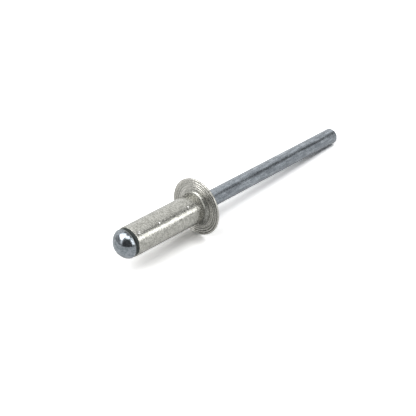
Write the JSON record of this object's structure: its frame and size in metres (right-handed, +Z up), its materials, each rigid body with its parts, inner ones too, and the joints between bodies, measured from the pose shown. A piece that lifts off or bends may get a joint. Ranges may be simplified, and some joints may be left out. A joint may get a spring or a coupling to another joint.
{
  "type": "pop rivet",
  "caption": "Blind rivet before setting, lying at rest: flanged aluminium tube, domed steel mandrel head at its end, and the long plain mandrel that the setting tool pulls.",
  "frame": {"origin": "on the ground, under the middle of the part's length", "axes": "+Z up, +X along the rivet towards the tail of the mandrel, which slopes down by 5.7 degrees because the part lies on the rim of its flange and on its tail"},
  "size_m": [0.0426, 0.0078, 0.0078],
  "materials": {
    "tumbled_aluminium": "satin tumbled aluminium, with turned rings on the clamping face",
    "zinc_plated_steel": "bright blue-grey zinc plating, glossy on the domed head and drawn lengthwise on the shank"
  },
  "bodies": {
    "root": {"rivet_body": "tumbled_aluminium", "mandrel": "zinc_plated_steel"}
  },
  "joints": []
}
